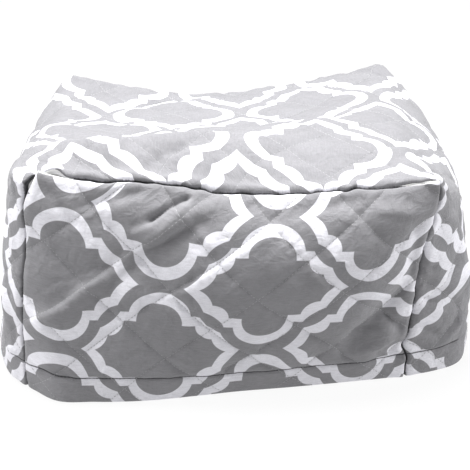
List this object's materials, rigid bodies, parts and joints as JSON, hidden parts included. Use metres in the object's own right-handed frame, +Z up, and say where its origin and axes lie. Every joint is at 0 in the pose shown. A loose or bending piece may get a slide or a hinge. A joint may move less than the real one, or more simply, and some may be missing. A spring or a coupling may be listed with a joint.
{
  "type": "projector cover",
  "caption": "Box-shaped quilted cloth dust cover with a trellis print, open underneath, with a gusset strip over the top and sides and a stitched hem.",
  "frame": {"origin": "middle of the cover's outline at the level of its hem", "axes": "+X to the right of the front panel, +Y from the front panel to the back panel, +Z up"},
  "size_m": [0.4566, 0.3575, 0.2283],
  "materials": {
    "panel_cloth": "matt quilted cotton with a printed trellis",
    "strip_cloth": "matt quilted cotton with a printed trellis"
  },
  "bodies": {
    "root": {"front_panel": "panel_cloth", "back_panel": "panel_cloth", "gusset_strip": "strip_cloth"}
  },
  "joints": []
}
